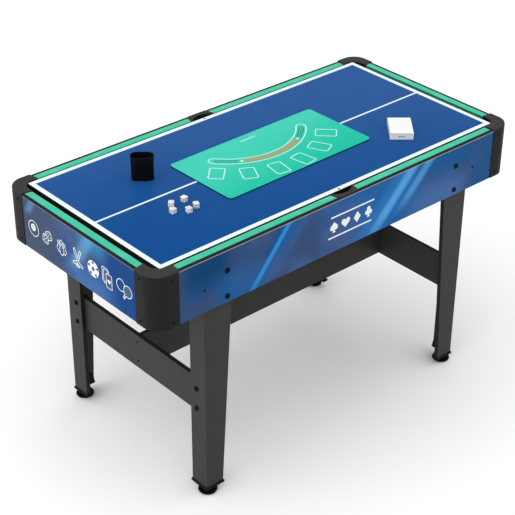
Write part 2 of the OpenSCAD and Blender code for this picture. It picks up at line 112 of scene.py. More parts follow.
class Value:
    """A number inside a shader, so that a pattern can be written as a formula."""

    def __init__(self, surface, socket):
        self.surface = surface
        self.socket = socket

    def apply(self, operation, *others):
        node = self.surface.nodes.new("ShaderNodeMath")
        node.operation = operation
        for slot, other in enumerate((self, *others)):
            self.surface.feed(node.inputs[slot], other)
        return Value(self.surface, node.outputs[0])

    def __add__(self, other):
        return self.apply("ADD", other)

    def __sub__(self, other):
        return self.apply("SUBTRACT", other)

    def __mul__(self, other):
        return self.apply("MULTIPLY", other)

    def abs(self):
        return self.apply("ABSOLUTE")

    def larger(self, other):
        return self.apply("MAXIMUM", other)

    def smaller(self, other):
        return self.apply("MINIMUM", other)

    def rise(self, low, high):
        """0 below low, 1 above high, and a smooth step between them."""
        node = self.surface.nodes.new("ShaderNodeMapRange")
        node.interpolation_type = "SMOOTHSTEP"
        node.inputs["From Min"].default_value = low
        node.inputs["From Max"].default_value = high
        self.surface.feed(node.inputs["Value"], self)
        return Value(self.surface, node.outputs["Result"])

    def fall(self, low, high):
        """1 below low and 0 above high."""
        return self.rise(low, high).apply("MULTIPLY", -1) + 1.0

    def band(self, centre, half, edge):
        """1 within half of centre, fading to 0 over edge."""
        return (self - centre).abs().fall(half, half + edge)


class Surface:
    """A procedural material around one Principled shader."""

    def __init__(self, name, roughness=0.5, **sockets):
        self.material = bpy.data.materials.new(name)
        self.material.use_nodes = True
        tree = self.material.node_tree
        self.nodes, self.links = tree.nodes, tree.links
        self.shader = self.nodes["Principled BSDF"]
        self.shader.inputs["Roughness"].default_value = roughness
        for socket, value in sockets.items():
            self.shader.inputs[socket.replace("_", " ")].default_value = value
        self.place = self.nodes.new("ShaderNodeTexCoord").outputs["Object"]
        split = self.nodes.new("ShaderNodeSeparateXYZ")
        self.links.new(self.place, split.inputs[0])
        self.x, self.y, self.z = (Value(self, split.outputs[axis]) for axis in range(3))

    def feed(self, socket, source):
        """Puts a Value, a socket or a constant into an input."""
        if isinstance(source, Value):
            source = source.socket
        if isinstance(source, bpy.types.NodeSocket):
            self.links.new(source, socket)
        else:
            socket.default_value = source

    def noise(self, scale, detail=3.0, stretch=(1, 1, 1), shift=(0, 0, 0)):
        """Soft random values around 0.5, with scale features per metre."""
        mapping = self.nodes.new("ShaderNodeMapping")
        mapping.inputs["Scale"].default_value = stretch
        mapping.inputs["Location"].default_value = shift
        self.links.new(self.place, mapping.inputs["Vector"])
        node = self.nodes.new("ShaderNodeTexNoise")
        node.inputs["Scale"].default_value = scale
        node.inputs["Detail"].default_value = detail
        self.links.new(mapping.outputs[0], node.inputs["Vector"])
        return Value(self, node.outputs["Fac"])

    def wave(self, scale, axis, distortion=0.0):
        """Bands across an axis, scale per metre."""
        node = self.nodes.new("ShaderNodeTexWave")
        node.bands_direction = axis
        node.inputs["Scale"].default_value = scale
        node.inputs["Distortion"].default_value = distortion
        self.links.new(self.place, node.inputs["Vector"])
        return Value(self, node.outputs["Fac"])

    def mix(self, first, second, factor):
        """first where factor is 0 and second where it is 1."""
        node = self.nodes.new("ShaderNodeMix")
        node.data_type = "RGBA"
        self.feed(node.inputs["Factor"], factor)
        self.feed(node.inputs["A"], first)
        self.feed(node.inputs["B"], second)
        return node.outputs["Result"]

    def colour(self, first, second, factor):
        """The surface's colour: first where factor is 0 and second where it is 1."""
        self.links.new(self.mix(first, second, factor), self.shader.inputs["Base Color"])

    def roughness(self, value, low, high):
        """Roughness from low to high as value goes from 0 to 1."""
        node = self.nodes.new("ShaderNodeMapRange")
        node.inputs["To Min"].default_value = low
        node.inputs["To Max"].default_value = high
        self.feed(node.inputs["Value"], value)
        self.links.new(node.outputs["Result"], self.shader.inputs["Roughness"])

    def bump(self, height, depth, strength=1.0):
        """Relief of the given depth in metres where height goes from 0 to 1."""
        node = self.nodes.new("ShaderNodeBump")
        node.inputs["Distance"].default_value = depth
        node.inputs["Strength"].default_value = strength
        self.feed(node.inputs["Height"], height)
        self.links.new(node.outputs["Normal"], self.shader.inputs["Normal"])
        return self.material

    def grained(self, scale, detail, depth):
        """A fine random relief, scale grains per metre."""
        return self.bump(self.noise(scale, detail), depth)


def moulded_plastic(name, shade, roughness, grain):
    """Black plastic with a spark-eroded grain, worn a little lighter in patches."""
    surface = Surface(name, roughness, Specular_IOR_Level=0.06)
    patches = surface.noise(14, 4)
    surface.colour(shade, toned(shade, 1.25), patches.rise(0.45, 0.75))
    surface.roughness(surface.noise(40), roughness - 0.07, roughness + 0.1)
    return surface.grained(1500, 2, grain)


def casting_plastic():
    """Black moulding, dark on its walls, grained all over with random lighter patches; its top is painted
    lighter, a painted highlight of the light from above.
    """
    surface = Surface("casting_plastic", 0.46, Specular_IOR_Level=0.06)
    # Painted highlight: the top band is painted lighter than the walls, where light from above falls on it.
    lit_top_share = surface.z.rise(BOARD_TOP - 3.5 * MM, BOARD_TOP + 0.8 * MM)
    patches = surface.noise(14, 4).rise(0.45, 0.75) * 0.25
    wall = surface.mix(srgb(32, 32, 32), srgb(42, 42, 42), patches)
    top = surface.mix(srgb(59, 58, 56), srgb(68, 66, 62), patches)
    surface.colour(wall, top, lit_top_share)
    surface.roughness(surface.noise(40), 0.38, 0.56)
    return surface.grained(1500, 2, 0.00009)


def foil_board(name, shade, roughness=0.42):
    """Dark printed foil on fibreboard: a faint straight grain under a satin film."""
    surface = Surface(name, roughness, Specular_IOR_Level=0.12)
    grain = surface.noise(90, 5, stretch=(1, 1, 0.35))
    surface.colour(shade, toned(shade, 1.08), grain.rise(0.4, 0.7))
    surface.roughness(surface.noise(25), roughness - 0.06, roughness + 0.1)
    return surface.grained(900, 3, 0.00004)


def raw_fibreboard():
    """Brown pressed fibre, as inside the aprons and under the board."""
    surface = Surface("raw_fibreboard", 0.85)
    flecks = surface.noise(420, 5)
    surface.colour(srgb(112, 88, 62), srgb(150, 122, 90), flecks.rise(0.35, 0.65))
    return surface.grained(1100, 3, 0.00008)


def napped_cloth(name, shade, lighter, darker):
    """Short-napped pool cloth with a fine weave under the nap, lighter patches of painted sheen where the
    nap lies differently, and a band of painted shade just under the top edge.
    """
    surface = Surface(name, 0.92, Sheen_Weight=0.35, Sheen_Roughness=0.4, Specular_IOR_Level=0.15)
    # Painted sheen: lighter patches that stand for light caught by the nap.
    nap_sheen_patches = surface.noise(22, 5)
    fibres = surface.noise(900, 3)
    colour = surface.mix(shade, lighter, nap_sheen_patches.rise(0.4, 0.8) * 0.6)
    colour = surface.mix(colour, darker, fibres.rise(0.52, 0.8) * 0.45)
    # Painted shade: a darker band just below the top, where the cushion's nose turns away into shadow.
    painted_nose_shade = surface.z.band(BOARD_TOP - 2.2 * MM, 1.1 * MM, 0.6 * MM)
    surface.colour(colour, toned(darker, 0.6), painted_nose_shade)
    weave = surface.wave(420, "DIAGONAL", 2.0) * 0.5 + fibres
    return surface.bump(weave, 0.00012, 0.7)


def coated_steel(name, shade, roughness, metallic):
    """Steel under a thin coat, for the bolts, nuts and screws."""
    surface = Surface(name, roughness, Metallic=metallic, Specular_IOR_Level=0.08)
    worn = surface.noise(300, 4)
    brighter = tuple(min(1.0, c * 2.2 + 0.01) for c in shade[:3]) + (1.0,)
    surface.colour(shade, brighter, worn.rise(0.55, 0.75))
    surface.roughness(worn, roughness - 0.1, roughness + 0.1)
    return surface.grained(2200, 2, 0.00002)


def tennis_print():
    """Blue foil with a white border and a white line along the middle; the blue is painted paler towards the
    back and right, a painted reflection of the light behind.
    """
    surface = Surface("tennis_print", 0.4, Specular_IOR_Level=0.05)
    border, line, edge = 13.5 * MM, 3 * MM, 0.4 * MM
    from_end = (surface.x.abs() - BOARD_HIGH.x) * -1.0
    from_side = (surface.y.abs() - BOARD_HIGH.y) * -1.0
    in_border = from_end.smaller(from_side).fall(border - edge, border + edge)
    on_line = (surface.y + 1 * MM).abs().fall(line - edge, line + edge)
    cloud = surface.noise(5, 3) - 0.5
    # Painted reflection: the blue grows paler towards the back and right, as the haze of the light behind
    # the table.
    across = surface.y + surface.x * 0.35 + cloud * 0.25
    blue = surface.mix(srgb(0, 75, 143), srgb(38, 88, 154), across.rise(-0.42, 0.3))
    flecks = surface.noise(700, 2).rise(0.5, 0.75) * 0.25
    blue = surface.mix(blue, srgb(4, 56, 124), flecks)
    surface.colour(blue, srgb(240, 252, 255), in_border.larger(on_line))
    surface.roughness(surface.noise(30), 0.34, 0.5)
    return surface.grained(1200, 2, 0.00003)


def panel_art(side, along, sign):
    """Blue night-sky print with slanting beams of light, running along an axis or against it, and a painted
    highlight along its top edge.
    """
    surface = Surface("art_" + side, 0.36, Specular_IOR_Level=0.04)
    is_end = along == "y"
    lit = END_LIT if is_end else SIDE_LIT
    u = getattr(surface, along) * sign
    down = (surface.z - APRON_HIGH.z) * -1.0
    cloud = surface.noise(6.5, 3, shift=(0.3, 0.7, 0.1))
    slate, dusk, blue = srgb(48, 72, 112, lit), srgb(62, 86, 132, lit), srgb(4, 74, 136, lit)
    colour = surface.mix(slate, dusk, cloud.rise(0.42, 0.62))
    deep = surface.noise(9, 2, shift=(1.7, 0.2, 0.4))
    colour = surface.mix(colour, blue, deep.rise(0.5, 0.66) * 0.7)
    if is_end:
        washes = (
            (u.fall(-0.17, -0.02) * 0.85, (62, 74, 96)),
            (u.rise(0.03, 0.15), (0, 64, 126)),
            (u.band(0.05, 0.03, 0.1) * down.rise(0.05, 0.13) * 0.7, (64, 112, 170)),
            (u.band(0.06, 0.02, 0.06) * down.fall(0.0, 0.06) * 0.7, (48, 140, 190)),
        )
        beams = (
            (-185 * MM, 0.6, 6 * MM, 14 * MM, 0.05, 0.6, (92, 136, 196)),
            (52 * MM, 0.7, 6 * MM, 26 * MM, 0.13, 0.5, (104, 164, 208)),
            (-60 * MM, 0.7, 14 * MM, 40 * MM, 0.1, 0.15, (80, 112, 160)),
        )
    else:
        washes = (
            (u.band(-0.455, 0.03, 0.07) * down.fall(0.03, 0.12), (0, 60, 106)),
            (u.band(-0.35, 0.02, 0.09) * down.rise(0.03, 0.1) * 0.5, (20, 96, 160)),
            (u.band(-0.03, 0.03, 0.09) * down.fall(0.0, 0.1) * 0.6, (30, 92, 158)),
            (u.band(0.15, 0.06, 0.12) * 0.7, (16, 96, 164)),
            (u.band(0.37, 0.04, 0.12) * down.fall(0.02, 0.11) * 0.9, (0, 80, 138)),
            (u.band(0.33, 0.05, 0.1) * down.rise(0.05, 0.12) * 0.7, (64, 104, 160)),
            (u.rise(0.42, 0.52) * 0.8, (12, 78, 128)),
        )
        beams = (
            (-199 * MM, 0.83, 5 * MM, 9 * MM, 0.2, 0.85, (38, 140, 210)),
            (-160 * MM, 0.83, 10 * MM, 50 * MM, 0.2, 0.2, (60, 120, 190)),
            (228 * MM, 0.98, 6 * MM, 26 * MM, 0.18, 0.8, (96, 176, 228)),
            (212 * MM, 0.98, 24 * MM, 50 * MM, 0.2, 0.35, (50, 130, 200)),
            (292 * MM, 0.98, 5 * MM, 24 * MM, 0.13, 0.6, (86, 160, 218)),
        )
    for share, tint in washes:
        colour = surface.mix(colour, srgb(*tint, lit), share)
    for at_top, lean, half, edge, reach, strength, tint in beams:
        beam = (u + down * lean).band(at_top, half, edge) * down.fall(reach * 0.5, reach)
        colour = surface.mix(colour, srgb(*tint, lit), beam * strength)
    # Painted highlight: a light grey line along the top edge where the light catches it, fainter on the
    # ends.
    painted_edge_highlight = down.fall(2.2 * MM, 2.7 * MM)
    surface.colour(colour, srgb(150, 152, 150, lit), painted_edge_highlight * (0.45 if is_end else 0.9))
    surface.roughness(surface.noise(18), 0.3, 0.44)
    return surface.grained(1000, 2, 0.00003)


def mat_cloth():
    """Printed green card-table cloth over thin rubber, painted paler towards the back and left as a painted
    reflection of the light.
    """
    surface = Surface("mat_cloth", 0.85, Sheen_Weight=0.15, Sheen_Roughness=0.35, Specular_IOR_Level=0.1)
    # Painted reflection: the green is painted paler towards the back and left, as the haze of the light.
    across = surface.y - surface.x * 0.2 + surface.noise(7, 3) * 0.1
    colour = surface.mix(srgb(14, 196, 166), srgb(66, 212, 186), across.rise(-0.1, 0.14))
    fibres = surface.noise(1100, 3)
    surface.colour(colour, srgb(14, 150, 128), fibres.rise(0.5, 0.8) * 0.3)
    weave = surface.wave(520, "X", 1.0) * surface.wave(520, "Y", 1.0) + fibres
    return surface.bump(weave, 0.00008, 0.6)


def leather():
    """Black grained imitation leather."""
    surface = Surface("cup_leather", 0.45, Specular_IOR_Level=0.07)
    cells = surface.nodes.new("ShaderNodeTexVoronoi")
    cells.feature = "DISTANCE_TO_EDGE"
    cells.inputs["Scale"].default_value = 620
    surface.links.new(surface.place, cells.inputs["Vector"])
    grain = Value(surface, cells.outputs["Distance"]).rise(0.0, 0.22)
    surface.colour(srgb(4, 4, 6), srgb(15, 15, 18), grain)
    surface.roughness(grain, 0.6, 0.36)
    return surface.bump(grain, 0.00012)


def plain_print(name, shade, roughness=0.5):
    """A printed or painted mark with a slightly uneven ink film."""
    surface = Surface(name, roughness)
    ink = surface.noise(160, 3)
    surface.colour(shade, toned(shade, 0.9), ink.rise(0.5, 0.8))
    return surface.grained(1500, 2, 0.00001)


def card_edges():
    """The side of a deck: fine lines of stacked card."""
    surface = Surface("card_edges", 0.6)
    lines = surface.wave(1000, "Z", 0.6)
    surface.colour(srgb(226, 224, 218), srgb(150, 146, 142), lines.rise(0.6, 0.95))
    return surface.bump(lines, 0.00006)


def glossy_plastic(name, shade):
    """Cast dice plastic, slightly cloudy and well polished."""
    surface = Surface(name, 0.18, Coat_Weight=0.3)
    surface.colour(shade, toned(shade, 0.97), surface.noise(220, 3).rise(0.4, 0.7))
    return surface.grained(500, 2, 0.00001)


def pale_floor():
    surface = Surface("pale_floor", 0.7, Specular_IOR_Level=0.2)
    mottle = surface.noise(2, 2)
    surface.colour(srgb(250, 250, 250, 1), srgb(246, 246, 246, 1), mottle)
    return surface.material


CASTING = casting_plastic()
EDGING = moulded_plastic("black_edging", srgb(36, 36, 35), 0.4, 0.00003)
SHOE = moulded_plastic("shoe_plastic", srgb(20, 20, 20), 0.45, 0.00007)
FOOT = moulded_plastic("foot_plastic", srgb(10, 10, 10), 0.4, 0.00006)
CUP = moulded_plastic("cup_plastic", srgb(14, 14, 14), 0.5, 0.00007)
LEG = foil_board("leg_foil", srgb(54, 54, 52))
INSIDE = raw_fibreboard()
RAIL_CLOTH = napped_cloth("rail_cloth", srgb(52, 198, 162), srgb(92, 214, 180), srgb(14, 124, 98))
BED_CLOTH = napped_cloth("bed_cloth", srgb(30, 140, 104), srgb(60, 170, 130), srgb(16, 100, 74))
BLACK_STEEL = coated_steel("black_steel", srgb(5, 5, 5), 0.42, 0.0)
ZINC_STEEL = coated_steel("zinc_steel", srgb(150, 150, 146), 0.4, 0.9)
TENNIS = tennis_print()
ART = {side: panel_art(side, along, sign) for side, along, sign, *_ in PANELS}
MAT = mat_cloth()
LEATHER = leather()
# Black rubber under the mat; on its side it also stands for a painted shadow along the mat's edge.
RUBBER_AND_SHADE = moulded_plastic("mat_rubber_and_shade", srgb(14, 14, 15), 0.7, 0.00008)
WHITE_INK = plain_print("white_ink", srgb(248, 254, 255))
BLUE_INK = plain_print("blue_ink", srgb(34, 70, 122))
TAN_INK = plain_print("tan_ink", srgb(150, 168, 122), 0.8)
DARK_INK = plain_print("dark_green_ink", srgb(22, 104, 96), 0.8)
MAT_WHITE = plain_print("mat_white_ink", srgb(204, 254, 248), 0.8)
CARD = plain_print("card_stock", srgb(252, 252, 252), 0.35)
CARD_EDGES = card_edges()
GREY_INK = plain_print("grey_ink", srgb(70, 70, 72))
DICE = glossy_plastic("dice_plastic", srgb(250, 254, 255))
BLACK_PIP = glossy_plastic("black_pip", srgb(10, 10, 12))
RED_PIP = glossy_plastic("red_pip", srgb(205, 20, 24))
THREAD = plain_print("stitching", srgb(52, 52, 54), 0.8)


# ---- Building pieces ----


def put_in_scene(name, data):
    thing = bpy.data.objects.new(name, data)
    bpy.context.scene.collection.objects.link(thing)
    return thing


def add_piece(name, mesh, body, slot, materials, replaces=()):
    """A new object that rides on a CAD body and may stand for CAD nodes."""
    piece = put_in_scene(name, mesh)
    for material in materials:
        mesh.materials.append(material)
    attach(piece, body)
    if replaces:
        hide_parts(*replaces)
    return piece


def to_mesh(name, bm, smooth=True, turn_outward=True):
    if turn_outward:
        bmesh.ops.recalc_face_normals(bm, faces=bm.faces)
    mesh = bpy.data.meshes.new(name)
    bm.to_mesh(mesh)
    bm.free()
    for face in mesh.polygons:
        face.use_smooth = smooth
    return mesh


def stand_for(node, bm, body, slot, materials, turn_outward=True):
    """A piece that takes the place of a CAD node."""
    mesh = to_mesh(node, bm, turn_outward=turn_outward)
    return add_piece(node + "_piece", mesh, body, slot, materials, (node,))


def ease_edges(piece, width, steps=2, angle=28):
    """Rounds a piece's edges and keeps its flat faces flat in the shading."""
    bevel = piece.modifiers.new("eased edges", "BEVEL")
    bevel.width = width
    bevel.segments = steps
    bevel.limit_method = "ANGLE"
    bevel.angle_limit = radians(angle)
    bevel.miter_outer = "MITER_ARC"
    shading = piece.modifiers.new("flat faces", "WEIGHTED_NORMAL")
    shading.mode = "FACE_AREA"
    shading.weight = 100


def flat_faces(axis):
    """Picks the first material on a board's two large faces and the second on the rest."""
    return lambda normal: 0 if abs(normal[axis]) > 0.9 else 1


def out_and_in(axis, sign):
    """Picks the first material on the face that looks out, the third on its back, else the second."""

    def pick(normal):
        outward = normal[axis] * sign
        if outward > 0.9:
            return 0
        return 2 if outward < -0.9 else 1

    return pick


def refined(node, body, slot, materials, pick=None, ease=0.5 * MM):
    """Stands for a CAD node: the same shape with its edges eased.
    pick(normal) gives the index of each face's material."""
    bm = bmesh.new()
    bm.from_mesh(frame["nodes"][node].data)
    bmesh.ops.remove_doubles(bm, verts=bm.verts, dist=0.005 * MM)
    bmesh.ops.dissolve_limit(bm, angle_limit=radians(0.6), verts=bm.verts, edges=bm.edges)
    for face in bm.faces:
        face.normal_update()
        face.material_index = pick(face.normal) if pick else 0
    ease_edges(stand_for(node, bm, body, slot, materials), ease)


def loft(bm, rings):
    """Skins a list of rings of points, each with the same count, and closes both ends."""
    rows = [[bm.verts.new(point) for point in ring] for ring in rings]
    count = len(rows[0])
    for low, high in zip(rows, rows[1:]):
        for i in range(count):
            j = (i + 1) % count
            bm.faces.new((low[i], low[j], high[j], high[i]))
    bm.faces.new(reversed(rows[0]))
    bm.faces.new(rows[-1])


def revolve(bm, profile, centre, steps, shaped):
    """Turns (radius, height) points round a vertical axis. shaped(angle, r, z) gives each radius."""
    rows = []
    for step in range(steps):
        angle = tau * step / steps
        row = []
        for radius, z in profile:
            row.append(bm.verts.new((*polar(centre, shaped(angle, radius, z), angle), z)))
        rows.append(row)
    for step in range(steps):
        here, there = rows[step], rows[(step + 1) % steps]
        for i in range(len(profile) - 1):
            bm.faces.new((here[i], there[i], there[i + 1], here[i + 1]))
    bmesh.ops.remove_doubles(bm, verts=bm.verts, dist=0.002 * MM)


# ---- Flat marks: white lines and filled shapes laid on a face ----


# The width of a game symbol's lines, in millimetres
LINE = 2.1


class Print:
    """Flat shapes in a face's own u, w plane, in millimetres, built into one mesh."""

    def __init__(self, place):
        self.bm = bmesh.new()
        self.place = place

    def fill(self, outline, layer=0, finish=0):
        """A filled outline. A higher layer lies on top of a lower one."""
        verts = [self.bm.verts.new(self.place(u * MM, w * MM, layer)) for u, w in outline]
        face = self.bm.faces.new(verts)
        face.material_index = finish
        bmesh.ops.triangulate(self.bm, faces=[face])

    def stroke(self, points, width, closed=False, layer=0, finish=0):
        """A line of even width along points, with mitred corners."""
        count = len(points)
        left, right = [], []
        for i, point in enumerate(points):
            before = points[i - 1] if closed or i else point
            after = points[(i + 1) % count] if closed or i < count - 1 else point
            a = Vector(point) - Vector(before)
            b = Vector(after) - Vector(point)
            a = a.normalized() if a.length else b.normalized()
            b = b.normalized() if b.length else a
            normal = Vector((-(a + b).y, (a + b).x)).normalized()
            reach = width / 2 / max(0.35, normal.dot(Vector((-a.y, a.x))))
            left.append(Vector(point) + normal * reach)
            right.append(Vector(point) - normal * reach)
        rows = []
        for side in (left, right):
            rows.append([self.bm.verts.new(self.place(p.x * MM, p.y * MM, layer)) for p in side])
        for i in range(count if closed else count - 1):
            j = (i + 1) % count
            face = self.bm.faces.new((rows[0][i], rows[1][i], rows[1][j], rows[0][j]))
            face.material_index = finish

    def drawing(self, outline, in_front=False):
        """A symbol's closed line. One in front hides what is behind it."""
        if in_front:
            self.fill(outline, layer=1, finish=1)
        self.stroke(outline, LINE, closed=True, layer=2 if in_front else 0)

    def piece(self, name, body, slot, materials):
        for face in self.bm.faces:
            face.normal_update()
        add_piece(name, to_mesh(name, self.bm, False, False), body, slot, materials)


def polar(centre, radius, angle):
    """The point at an angle and a distance from a centre."""
    return centre[0] + radius * cos(angle), centre[1] + radius * sin(angle)


def circle(u, w, radius, steps=32, start=0.0, sweep=tau):
    """Points round a circle or along an arc of it."""
    whole = abs(sweep - tau) < 1e-6
    count = steps if whole else steps + 1
    return [polar((u, w), radius, start + sweep * i / steps) for i in range(count)]


def turned(points, angle, u=0.0, w=0.0, scale=1.0):
    """The points scaled and turned about their origin, then moved to (u, w)."""
    c, s = cos(angle), sin(angle)
    return [(u + scale * (x * c - y * s), w + scale * (x * s + y * c)) for x, y in points]


def rounded_box(width, height, radius, steps=5):
    """The outline of a rectangle round the origin with round corners."""
    points = []
    for quarter, (sx, sy) in enumerate(((1, 1), (-1, 1), (-1, -1), (1, -1))):
        centre = (sx * (width / 2 - radius), sy * (height / 2 - radius))
        start = quarter * pi / 2
        points += circle(*centre, radius, steps, start, pi / 2)
    return points


# ---- Castings ----


# (inwards from the wall, below the top) and (outwards from the pocket, below the top), in millimetres
CASTING_RIM = ((0, 5), (0.5, 2.8), (1.6, 1.1), (3.2, 0.2), (4.6, 0), (8, 0), (8.8, 0.5))
CASTING_THROAT = ((1.6, 0.5), (0.4, 0.9), (0, 2.2))


def corner_path():
    """Pairs of outer and inner points round the corner of the +X, +Y quarter."""
    outer_arc = (HALF_L - CORNER_R, HALF_W - CORNER_R)
    inner_arc = (HALF_L - 62 * MM, HALF_W - 62 * MM)
    nose = (inner_arc[0] + POCKET_R, inner_arc[1] + POCKET_R)
    outer = [(HALF_L, HALF_W - 72 * MM), (HALF_L, outer_arc[1])]
    inner = [(nose[0], HALF_W - 76 * MM), (nose[0], inner_arc[1])]
    steps = 24
    for i in range(steps + 1):
        angle = pi / 2 * i / steps
        outer.append(polar(outer_arc, CORNER_R, angle))
        inner.append(polar(inner_arc, POCKET_R, angle))
    outer.append((HALF_L - 71.5 * MM, HALF_W))
    inner.append((HALF_L - 77 * MM, nose[1]))
    return list(zip(outer, inner))


def corner_casting(corner):
    """The L-shaped moulding over a corner: outer wall, eased rim, plate and pocket throat."""
    sx, sy = signs(corner)
    node = "corner_casting_" + corner
    low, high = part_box(node)
    path = corner_path()
    rings = []
    for i, (outer, inner) in enumerate(path):
        o, n = Vector(outer), Vector(inner)
        after = Vector(path[min(i + 1, len(path) - 1)][0])
        before = Vector(path[max(i - 1, 0)][0])
        along = (after - before).normalized()
        out = Vector((along.y, -along.x))
        section = [(o - out * SKIN, low.z), (o - out * 0.4 * MM, low.z), (o, low.z + 0.4 * MM)]
        section += [(o - out * inset * MM, high.z - drop * MM) for inset, drop in CASTING_RIM]
        section += [(n + out * inset * MM, high.z - drop * MM) for inset, drop in CASTING_THROAT]
        section += [(n, BED_TOP), (n + out * 3 * MM, BED_TOP), (n + out * 3 * MM, APRON_HIGH.z)]
        section.append((o - out * SKIN, APRON_HIGH.z))
        rings.append([(sx * p.x, sy * p.y, z) for p, z in section])
    bm = bmesh.new()
    loft(bm, rings)
    ease_edges(stand_for(node, bm, "frame", "casting_plastic", [CASTING]), 0.35 * MM, angle=50)


# ---- Cushions ----


def cushion_profile(outer, nose, base, rise):
    """(across, z) points round a rail cushion, from its outer top edge over the nose.
    across goes from 0 at the outer edge to 1 at the nose."""
    width = abs(nose - outer)
    points = [(0.0, rise - 2.8 * MM), (0.3 * MM, rise - 0.9 * MM), (1.2 * MM, rise - 0.2 * MM)]
    for i in range(1, 8):
        t = i / 8
        crown = sin(pi * t) * 0.25 * MM
        points.append((1.2 * MM + t * (width - 5.2 * MM), rise - 0.25 * MM + crown))
    centre = (width - 3.2 * MM, rise - 3.6 * MM)
    for i in range(7):
        angle = radians(85 - 30 * i)
        points.append(polar(centre, 3.2 * MM, angle))
    points += [(width - 8 * MM, base + 7 * MM), (width - 8.2 * MM, base)]
    inner = 4 * MM
    points += [(inner, base), (inner, rise - 2.9 * MM)]
    return [(across / width, z) for across, z in points]


def rail_cushion(node, along_x, outer, nose, ends):
    """A cloth-covered rubber cushion. ends are two (at the outer edge, at the nose) places."""
    low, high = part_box(node)
    profile = cushion_profile(outer, nose, low.z, high.z)
    stations = []
    rounding = 1.6 * MM
    for share in (0, 0.15, 0.45, 1):
        stations.append((share * rounding, 1 - sqrt(1 - (1 - share) ** 2)))
    count = 40
    mid_z = (low.z + high.z) / 2

    def ring(distance, shrink, backwards=False):
        points = []
        for share, z in profile:
            start, end = (at_edge + (at_nose - at_edge) * share for at_edge, at_nose in ends)
            direction = 1 if end > start else -1
            place = end - direction * distance if backwards else start + direction * distance
            across = outer + (nose - outer) * (0.5 + (share - 0.5) * (1 - shrink * 0.14))
            height = mid_z + (z - mid_z) * (1 - shrink * 0.1)
            height += 0.12 * MM * sin(place * 61) if share > 0.1 and z > mid_z else 0
            points.append((place, across, height) if along_x else (across, place, height))
        return points

    length = abs(ends[1][0] - ends[0][0]) - 2 * rounding
    rings = [ring(distance, shrink) for distance, shrink in stations]
    rings += [ring(rounding + length * i / count, 0) for i in range(1, count)]
    rings += [ring(distance, shrink, True) for distance, shrink in reversed(stations)]
    bm = bmesh.new()
    loft(bm, rings)
    stand_for(node, bm, "frame", "rail_cloth", [RAIL_CLOTH])


def cushions():
    side_nose = HALF_W - 32 * MM
    end_nose = HALF_L - 32 * MM
    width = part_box("cushion_left")[1].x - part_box("cushion_left")[0].x
    corner_end = HALF_L - 77 * MM
    for corner in CORNERS:
        sx, sy = signs(corner)
        ends = ((sx * 34 * MM, sx * 39 * MM), (sx * corner_end, sx * corner_end))
        rail_cushion("cushion_" + corner, True, sy * (side_nose + width), sy * side_nose, ends)
    for side, sx in (("left", -1), ("right", 1)):
        reach = (HALF_W - 73 * MM, HALF_W - 77 * MM)
        ends = ((-reach[0], -reach[1]), reach)
        rail_cushion("cushion_" + side, False, sx * (end_nose + width), sx * end_nose, ends)


# ---- Aprons and their print ----


def aprons():
    for side, _, _, axis, sign in PANELS:
        materials = [ART[side], EDGING, INSIDE]
        refined("apron_" + side, "frame", "printed_apron", materials, out_and_in(axis, sign), 0.4 * MM)


def panel_place(axis, sign, middle):
    """Places a print on the panel that looks out along an axis, as seen from outside."""
    face = -(APRON_LOW.y if axis else END_LOW.x)

    def place(u, w, layer):
        out = sign * (face + (0.08 + 0.07 * layer) * MM)
        return Vector((-sign * u, out, middle + w) if axis else (out, sign * u, middle + w))

    return place


def pool_ball(art, u):
    art.drawing(circle(u, 0, 23.5, 40))
    art.fill(circle(u - 1, 3, 11))
    art.stroke(circle(u - 1, 4, 4.5, 20), 1.8, closed=True, layer=1, finish=1)
    art.fill(circle(u + 5, -12, 3, 16), layer=1, finish=1)


def two_dice(art, u):
    for du, dw, angle in ((8, 8, 0.35), (-8, -7, -0.2)):
        at = (u + du, dw)
        art.drawing(turned(rounded_box(25, 25, 5), angle, *at), du < 0)
        for dot in turned(PIPS[5], angle, *at, 6):
            art.fill(circle(*dot, 2, 12), layer=2)


def bowling_pins(art, u):
    def pin(height):
        right = []
        for i in range(25):
            t = i / 24
            belly = 0.17 * exp(-(((t - 0.3) / 0.24) ** 2))
            head = 0.095 * exp(-(((t - 0.86) / 0.1) ** 2))
            right.append(((0.055 + belly + head) * height * (1 - t**14), t * height))
        return [(-x, y) for x, y in reversed(right)] + right

    for du, dw, height in ((-13, -18, 36), (13, -18, 36), (0, -24, 47)):
        art.drawing(turned(pin(height), 0, u + du, dw), du == 0)
        neck = dw + height * 0.72
        band = [(u + du - 3, neck), (u + du + 3, neck)]
        art.stroke(band, 1.8, layer=2)


def hockey_sticks(art, u):
    """Two crossed sticks and a puck."""
    stick = [(-17, 24), (-11, 27), (5, -11), (21, -16), (22, -23), (1, -19)]
    mirrored = [(-x, y) for x, y in reversed(stick)]
    art.drawing(turned(mirrored, 0, u, 0))
    art.drawing(turned(stick, 0, u, 0), True)
    puck = [(x * 8, y * 3.2) for x, y in circle(0, 0, 1, 28)]
    art.drawing(turned(puck, 0, u, -24.5))


def football(art, u):
    art.fill(circle(u, 0, 24.5, 40))
    art.fill(circle(u, 0, 7.5, 5, pi / 2), layer=1, finish=1)
    for i in range(5):
        angle = pi / 2 + tau * i / 5
        seam = [polar((u, 0), reach, angle) for reach in (7.5, 15)]
        art.stroke(seam, 1, layer=1, finish=1)
        patch = circle(*polar((u, 0), 19, angle), 5.4, 5, angle + pi)
        art.fill(patch, layer=1, finish=1)


def playing_cards(art, u):
    for du, dw, layer in ((-8, 8, 0), (-2.5, 3, 0), (9, -7, 1)):
        outline = turned(rounded_box(24, 42, 2), 0, u + du, dw)
        if layer or du > -8:
            art.fill(outline, layer=layer, finish=1)
        art.stroke(outline, LINE * 0.9, closed=True, layer=1 + layer)
    art.fill(turned(heart(), 0, u + 9, -7, 7.5), layer=2)


